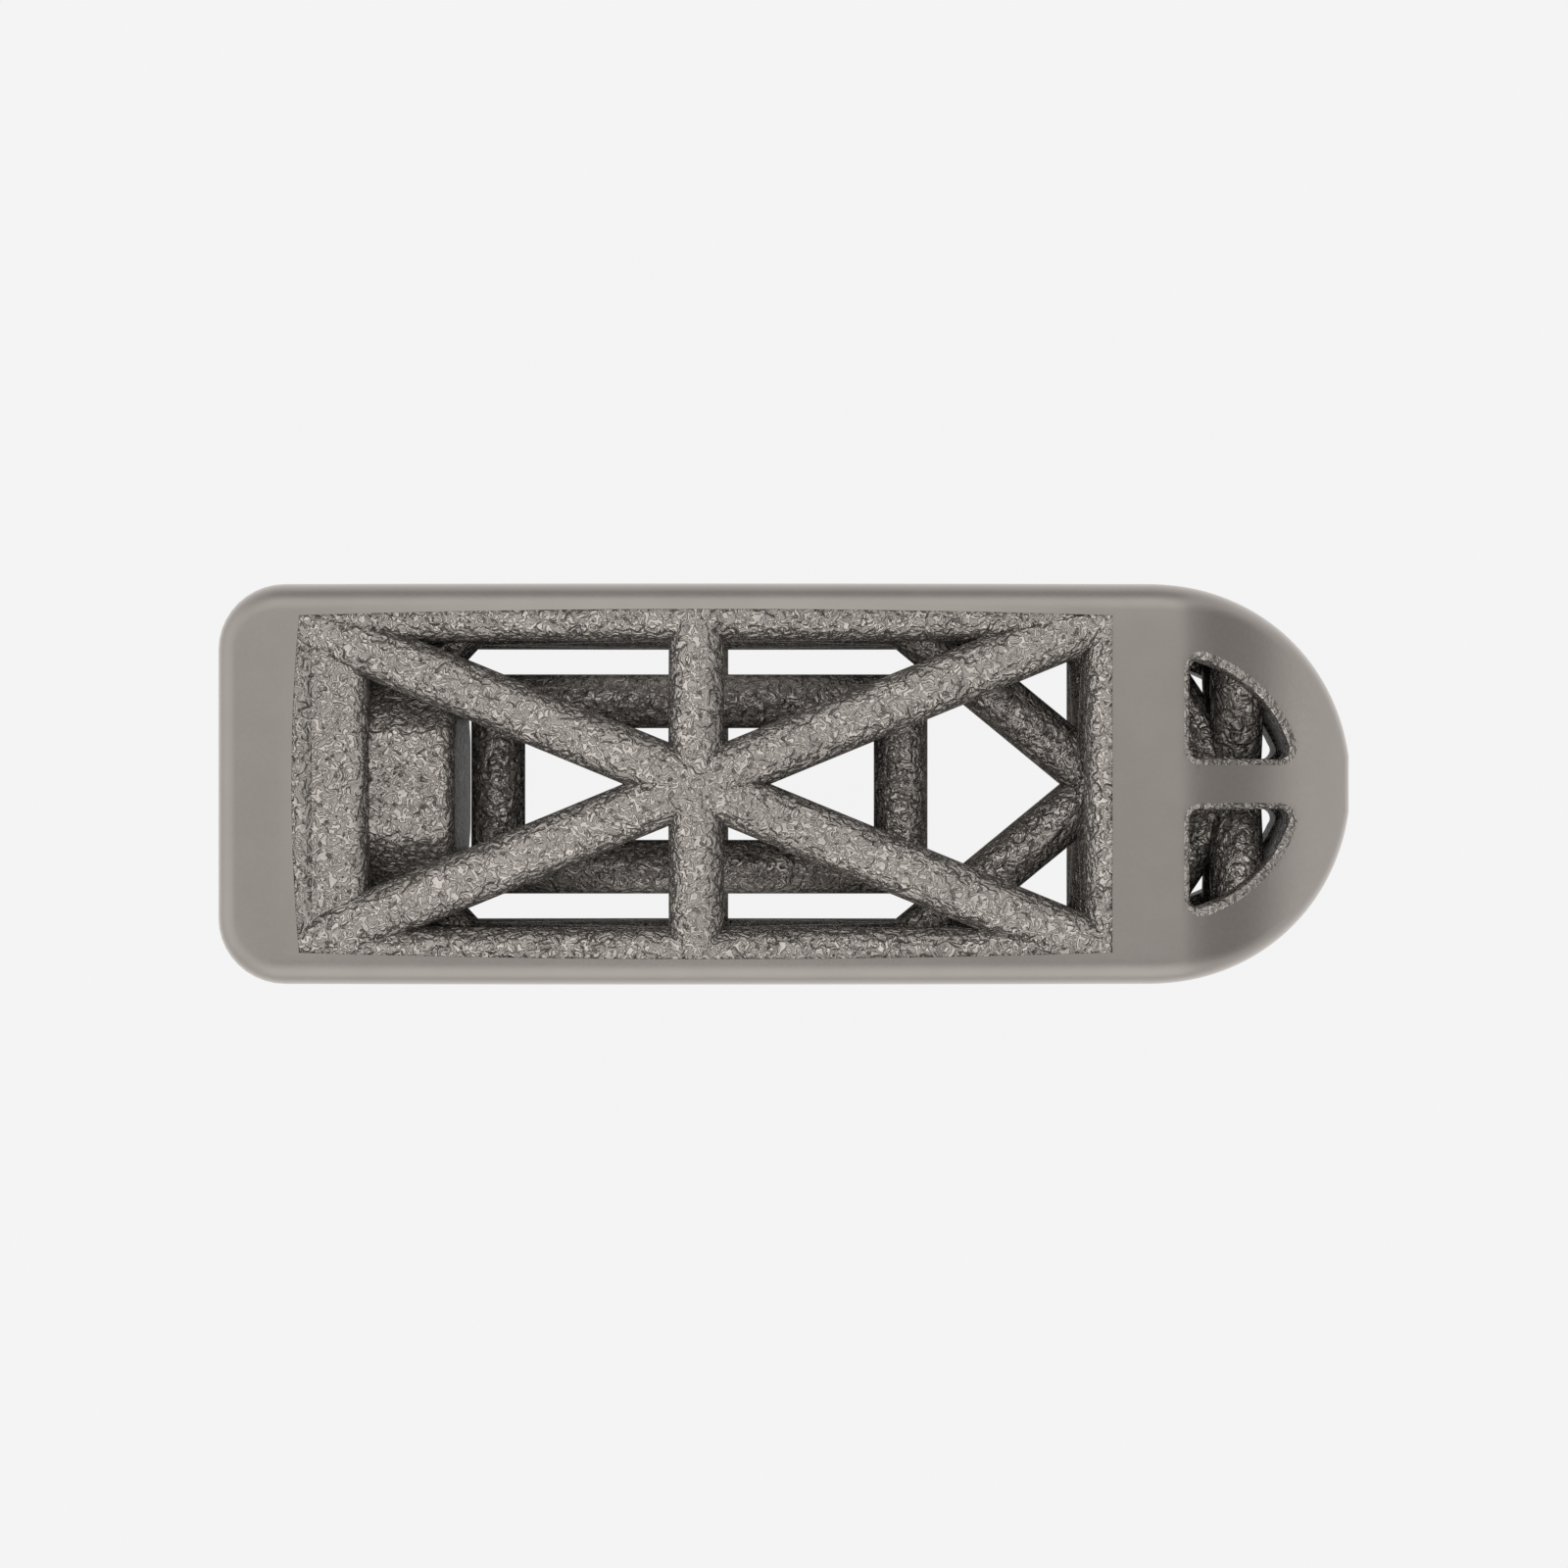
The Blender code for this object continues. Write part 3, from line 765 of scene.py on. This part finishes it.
def makeBoreCutter():
    # blind bore with a flared mouth; the thread is a groove that winds about the X axis
    bore = rearEnd["bore"] / 2
    mouth = rearEnd["mouth"] / 2
    flare = (mouth - bore) / rearEnd["mouthDepth"]
    pitch = rearEnd["threadPitch"]
    first = rearX + rearEnd["mouthDepth"]
    last = rearX + rearEnd["boreDepth"]
    sides = rearEnd["boreSides"]
    steps = round((last - first) / pitch * rearEnd["ringsPerPitch"])
    rings = [[(rearX - sunk, mouth + sunk * flare)] * sides]
    for step in range(steps + 1):
        x = first + (last - first) * step / steps
        fade = min(1.0, (x - first) / pitch, (last - x) / pitch)  # the groove runs out at both ends
        ring = []
        for number in range(sides):
            phase = (x / pitch + number / sides) % 1
            groove = max(0.0, 1 - abs(phase - 0.5) / (rearEnd["threadWidth"] / 2))
            ring.append((x, bore + rearEnd["threadDepth"] * fade * groove))
        rings.append(ring)
    spun = []
    for ring in rings:
        turns = [2 * math.pi * number / sides for number in range(sides)]
        spun.append([(x, r * math.cos(turn), r * math.sin(turn)) for (x, r), turn in zip(ring, turns)])
    return loftRings("boreCutter", spun, machined)


def makeRearEnd(cage):
    toCorner = 1 / math.cos(math.pi / 8)
    radius = rearEnd["bossFlats"] / 2 * toCorner
    along, inward = rearEnd["bossEdge"]
    profile = [(bay["wallX"] - sunk, radius)]
    for step in range(rearEnd["bossEdgeSteps"] + 1):
        angle = math.pi / 2 * step / rearEnd["bossEdgeSteps"]
        x = bossEndX - along * (1 - math.sin(angle))
        profile.append((x, radius - inward * toCorner * (1 - math.cos(angle))))
    low = rearEnd["bossHeight"] / rearEnd["bossFlats"]
    rings = []
    for x, radius in profile:
        turns = [math.pi / 8 + math.pi / 4 * number for number in range(8)]
        corners = [(radius * math.cos(turn), radius * math.sin(turn) * low) for turn in turns]
        ring = roundedOutline(corners, rearEnd["bossCorner"], rearEnd["bossCornerSteps"])
        rings.append([(x, point.x, point.y) for point in ring])
    combine(cage, loftRings("boss", rings, sintered), "UNION")
    combine(cage, makeBoreCutter(), "DIFFERENCE")
    for side in (-1, 1):
        half = rearEnd["gripHeight"] / 2
        corners = [
            (rearX - past, -half),
            (rearX + rearEnd["gripLength"], -half),
            (rearX + rearEnd["gripLength"], half),
            (rearX - past, half),
        ]
        outline = roundedOutline(corners, rearEnd["gripRounding"], rearEnd["gripSteps"])
        reach = (halfWide - rearEnd["gripDepth"], halfWide + past)
        rings = [[(point.x, side * y, point.y) for point in outline] for y in reach]
        combine(cage, loftRings("gripCutter", rings, satin), "DIFFERENCE")


def node(i, j, level):
    # i and j count half cells from the centre, level is -1, 0 or 1
    x = truss["centreX"] + i * truss["cell"]
    z = faceHeight(x, nodeY) - truss["inset"]
    if i == 0 and j == 0:
        rise = truss["crown"] / 2 - strutRadius - z
        tilt = math.atan2(rise, nodeY)
        z = truss["crown"] / 2 - strutRadius * math.cos(tilt) - truss["overrun"] * math.sin(tilt)
    return (x, j * nodeY / 2, level * z)


def strutRuns():
    runs = []
    for level in (-1, 1):
        # face: frame, diagonals and middle bar
        for j in (-2, 2):
            runs.append((node(-2, j, level), node(0, j, level)))
            runs.append((node(0, j, level), node(2, j, level)))
            runs.append((node(0, j, level), node(0, 0, level)))
            for i in (-2, 2):
                runs.append((node(i, j, level), node(0, 0, level)))
                # crossing diagonals down to the other face
                runs.append((node(i, j, level), node(0, 0, -level)))
                runs.append((node(i, j, level), node(0, j, -level)))
        runs.append((node(2, -2, level), node(2, 2, level)))
        runs.append((node(2, -2, level), node(2, 2, -level)))
        rearZ = level * (rimHalf(truss["rearFrameX"]) - truss["rearInset"])
        runs.append(((truss["rearFrameX"], -nodeY, rearZ), (truss["rearFrameX"], nodeY, rearZ)))
    for side in (-1, 1):
        # mid plane: rectangle and the braces at both ends
        runs.append((node(-1, side, 0), node(1, side, 0)))
        runs.append((node(side, -1, 0), node(side, 1, 0)))
        runs.append((node(1, 2 * side, 0), node(2, 0, 0)))
        headY = (rearEnd["bossFlats"] + rearEnd["bore"]) / 4
        headX = truss["rearBraceFootX"] - (nodeY - headY) / math.tan(math.radians(truss["rearBraceAngle"]))
        runs.append(((truss["rearBraceFootX"], side * nodeY, 0), (headX, side * headY, 0)))
        runs.append(((truss["noseBraceFootX"], side * nodeY, 0), (truss["noseBraceHeadX"], 0, 0)))
        reachY = side * truss["noseCrossReach"]
        reachZ = truss["noseCrossSlope"] * truss["noseCrossReach"]
        runs.append(((truss["noseCrossX"], -reachY, -reachZ), (truss["noseCrossX"], reachY, reachZ)))
    return runs


def makeTruss(cage):
    struts = bpy.data.collections.new("struts")
    bpy.context.scene.collection.children.link(struts)
    for number, (start, end) in enumerate(strutRuns()):
        start = Vector(start) * mm
        run = Vector(end) * mm - start
        deselectAll()
        bpy.ops.mesh.primitive_cylinder_add(
            vertices=truss["sides"],
            radius=strutRadius * mm,
            depth=run.length + 2 * truss["overrun"] * mm,
        )
        strut = bpy.context.object
        strut.name = f"strut{number:02d}"
        turn = run.to_track_quat("Z", "Y").to_matrix().to_4x4()
        roll = Matrix.Rotation(math.radians(truss["roll"] * number), 4, "Z")
        strut.data.transform(Matrix.Translation(start + run / 2) @ turn @ roll)
        strut.data.materials.append(sintered)
        for home in list(strut.users_collection):
            home.objects.unlink(strut)
        struts.objects.link(strut)
    combine(cage, struts, "UNION")


cage = makeShell()
print("shell:", len(cage.data.polygons), "faces")
cutBay(cage)
cutSideWindows(cage)
cutNose(cage)
print("openings cut:", len(cage.data.polygons), "faces")
makeRearEnd(cage)
print("rear end made:", len(cage.data.polygons), "faces")
makeTruss(cage)
print("truss joined:", len(cage.data.polygons), "faces")
cage.data.transform(Matrix.Translation((0, 0, midHeight * mm)))
cage.data.validate()  # drops broken faces that the joins may leave
takeUp(cage)
bpy.ops.object.shade_smooth_by_angle(angle=math.radians(shell["smoothAngle"]))
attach(cage, "root")
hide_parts("cage_body")


# Plain studio: pale floor, and a soft surround that is a little lighter or darker in places
studio = {
    "background": (0.9065, 0.9065, 0.9065, 1),
    "floorColour": (0.8, 0.8, 0.8, 1),
    "floorGlow": 0.985,  # share of the floor that keeps its written tone; the rest takes the shadow
    "surround": 0.95,
    # direction that a patch lies in, its reach in degrees, and what it adds
    "patches": [
        ((0.0, 0.56, 0.83), 32, 0.42),
        ((0.0, 0.98, 0.20), 34, -0.36),
        ((0.0, -0.30, 0.95), 22, -0.28),
        ((0.0, -0.95, 0.31), 46, 0.48),
        ((0.86, 0.0, 0.51), 44, -0.50),
        ((1.0, 0.0, -0.20), 26, 1.10),
        ((-0.90, 0.0, 0.42), 56, 0.35),
    ],
}


def seenDirectly(tree):
    # 1 for what the camera sees, also in a mirror or through glass
    path = tree.nodes.new("ShaderNodeLightPath")
    seen = maths(tree, "MAXIMUM", path.outputs["Is Camera Ray"], path.outputs["Is Glossy Ray"])
    return maths(tree, "MAXIMUM", seen, path.outputs["Is Transmission Ray"])


def makeFloor():
    deselectAll()
    bpy.ops.mesh.primitive_plane_add(size=2.0, location=(0, 0, 0))
    floor = bpy.context.object
    floor.name = "floor"
    paint = bpy.data.materials.new("floorPaint")
    paint.use_nodes = True
    tree = paint.node_tree
    tree.nodes.remove(tree.nodes["Principled BSDF"])
    matte = addNode(tree, "ShaderNodeBsdfDiffuse")
    matte.inputs["Color"].default_value = studio["floorColour"]
    plain = addNode(tree, "ShaderNodeEmission")
    plain.inputs["Color"].default_value = studio["background"]
    mix = addNode(tree, "ShaderNodeMixShader")
    join(tree, maths(tree, "MULTIPLY", seenDirectly(tree), studio["floorGlow"]), mix, 0)
    join(tree, matte, mix, 1)
    join(tree, plain, mix, 2)
    join(tree, mix, tree.nodes["Material Output"], "Surface")
    floor.data.materials.append(paint)


def makeSurround():
    world = bpy.data.worlds.new("studio")
    bpy.context.scene.world = world
    world.use_nodes = True
    tree = world.node_tree
    surround = tree.nodes["Background"]
    surround.inputs["Color"].default_value = (1, 1, 1, 1)
    direction = tree.nodes.new("ShaderNodeTexCoord").outputs["Generated"]
    level = studio["surround"]
    for towards, reach, amount in studio["patches"]:
        nearness = addNode(tree, "ShaderNodeVectorMath", operation="DOT_PRODUCT")
        nearness.inputs[1].default_value = Vector(towards).normalized()
        join(tree, direction, nearness)
        patch = ramp(tree, nearness.outputs["Value"], math.cos(math.radians(reach)), 1.0, 0.0, amount)
        level = maths(tree, "ADD", patch, level)
    join(tree, level, surround, "Strength")
    backdrop = addNode(tree, "ShaderNodeBackground")
    backdrop.inputs["Color"].default_value = studio["background"]
    mix = addNode(tree, "ShaderNodeMixShader")
    join(tree, tree.nodes.new("ShaderNodeLightPath").outputs["Is Camera Ray"], mix, 0)
    join(tree, surround, mix, 1)
    join(tree, backdrop, mix, 2)
    join(tree, mix, tree.nodes["World Output"], "Surface")


makeFloor()
makeSurround()

# The camera looks straight down
view = {
    "aimX": -0.198,
    "distance": 81.9,  # from the mid plane
    "lens": 81.0,
    "sensor": 36.0,
    "nearest": 5.0,
}
camera = bpy.data.objects.new("camera", bpy.data.cameras.new("camera"))
bpy.context.scene.collection.objects.link(camera)
camera.location = (view["aimX"] * mm, 0, (midHeight + view["distance"]) * mm)
camera.data.lens = view["lens"]
camera.data.sensor_width = view["sensor"]
camera.data.clip_start = view["nearest"] * mm
bpy.context.scene.camera = camera
bpy.context.scene.view_settings.view_transform = "Standard"
print("studio set")
